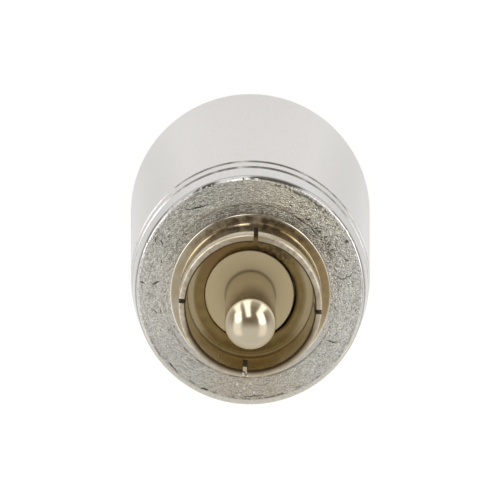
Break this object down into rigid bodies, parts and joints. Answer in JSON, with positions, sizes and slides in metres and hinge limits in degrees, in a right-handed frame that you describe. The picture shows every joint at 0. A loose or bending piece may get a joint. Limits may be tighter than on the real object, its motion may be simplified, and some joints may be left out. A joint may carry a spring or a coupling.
{
  "type": "rca to xlr adapter",
  "caption": "Nickel-plated adapter with a slotted RCA plug at one end of a tapered barrel and a keyed XLR plug cup at the other.",
  "frame": {"origin": "centre of the XLR rim, on the surface that the adapter stands on", "axes": "+Z along the barrel towards the RCA contact, -Y towards the key and latch window of the XLR end"},
  "size_m": [0.019, 0.019, 0.06],
  "materials": {
    "barrel_nickel": "bright nickel plate on cast zinc, rough cast front face",
    "contact_nickel": "warm nickel plate on turned brass",
    "ivory_plastic": "moulded, satin",
    "black_plastic": "moulded, satin",
    "silver_contact": "bright plate on turned brass",
    "tinned_metal": "tinned",
    "red_jacket": "soft wire jacket",
    "black_jacket": "soft wire jacket",
    "solder": "set solder"
  },
  "bodies": {
    "root": {"barrel": "barrel_nickel", "rca_ground_sleeve": "contact_nickel", "rca_insulator": "ivory_plastic", "rca_center_pin": "contact_nickel", "ground_tag": "tinned_metal", "xlr_insert": "black_plastic", "xlr_pin_1": "silver_contact", "xlr_pin_2": "silver_contact", "xlr_pin_3": "silver_contact", "insert_screw": "tinned_metal", "signal_wire_core": "tinned_metal", "signal_wire_jacket": "red_jacket", "ground_wire_core": "tinned_metal", "ground_wire_jacket": "black_jacket", "pin_link": "tinned_metal", "rca_pin_solder": "solder", "tag_solder": "solder", "pin_1_solder": "solder", "pin_2_solder": "solder", "pin_3_solder": "solder"}
  },
  "joints": []
}
